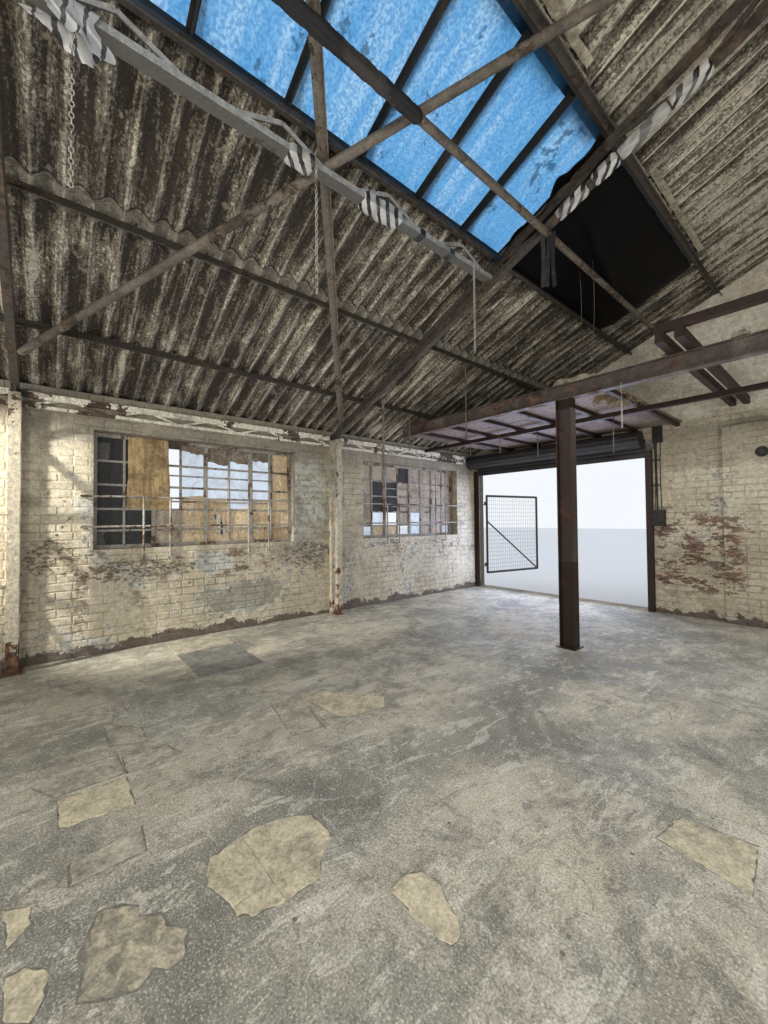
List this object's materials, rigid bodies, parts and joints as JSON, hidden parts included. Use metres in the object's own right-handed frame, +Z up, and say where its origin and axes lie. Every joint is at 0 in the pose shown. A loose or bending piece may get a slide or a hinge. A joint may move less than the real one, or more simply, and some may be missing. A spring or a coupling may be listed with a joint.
{
  "type": "factory building",
  "caption": "Single-storey brick workshop with a gabled corrugated roof on lattice rafters, long roof lights, a wide doorway with a roller shutter and yard gates.",
  "frame": {"origin": "middle of the whole part's box, on the ground", "axes": "+Z up, -Y out of the front gable with the doorway, +X to the east side, Y along the ridge"},
  "size_m": [9.92, 17.6003, 4.5077],
  "materials": {
    "concrete": "worn floated concrete with patches and stains",
    "painted_brick": "brick with flaking cream paint",
    "painted_steel": "flaking cream paint over rust",
    "dark_steel": "old dark paint and dust",
    "grey_steel": "dull grey paint with rust",
    "red_steel": "red-brown primer and rust",
    "cement_sheet": "weathered grey cement sheet",
    "gutter_iron": "dull black paint",
    "curb_steel": "black bitumen paint",
    "wired_glass": "rough cast glass, dirty",
    "sheeting": "black plastic sheeting",
    "window_steel": "flaking paint and rust",
    "window_glass": "dirty clear glass",
    "shutter_steel": "dark grey galvanised slats",
    "lintel": "cast concrete",
    "board": "pinkish brown ceiling board",
    "box_plastic": "black moulded case",
    "gate_steel": "dark grey paint"
  },
  "bodies": {
    "root": {"floor_slab": "concrete", "east_wall": "painted_brick", "west_wall": "painted_brick", "front_wall": "painted_brick", "door_head_wall": "painted_brick", "rear_wall": "painted_brick", "east_stanchions": "painted_steel", "west_stanchions": "painted_steel", "east_rafters": "dark_steel", "west_rafters": "dark_steel", "east_purlins": "dark_steel", "west_purlins": "dark_steel", "lattice_purlins": "grey_steel", "roof_tubes": "grey_steel", "east_eaves_beams": "painted_steel", "west_eaves_beams": "painted_steel", "east_lower_sheets": "cement_sheet", "west_lower_sheets": "cement_sheet", "east_middle_sheets": "cement_sheet", "west_middle_sheets": "cement_sheet", "east_upper_sheets": "cement_sheet", "west_upper_sheets": "cement_sheet", "end_sheets": "cement_sheet", "ridge_cap": "cement_sheet", "gutters": "gutter_iron", "light_curbs": "curb_steel", "glazing_bars": "curb_steel", "roof_glass": "wired_glass", "black_sheeting": "sheeting", "window_frames": "window_steel", "window_glass": "window_glass", "guard_bars": "window_steel", "roller_shutter": "shutter_steel", "shutter_guides": "red_steel", "door_lintel": "lintel", "platform_posts": "red_steel", "main_beam": "red_steel", "cross_beams": "red_steel", "joists": "red_steel", "ceiling_boards": "board", "hangers": "red_steel", "control_box": "box_plastic", "gate_hinges": "gate_steel"},
    "east_gate": {"east_gate": "gate_steel"},
    "west_gate": {"west_gate": "gate_steel"}
  },
  "joints": [
    {"name": "east_gate_hinge", "type": "hinge", "parent": "root", "child": "east_gate", "pos_m": [4.6, -7.42784, 1], "axis": [0, 0, 1], "range_deg": [-78, 90]},
    {"name": "west_gate_hinge", "type": "hinge", "parent": "root", "child": "west_gate", "pos_m": [1.775, -7.42784, 1], "axis": [0, 0, 1], "range_deg": [-90, 78]}
  ]
}
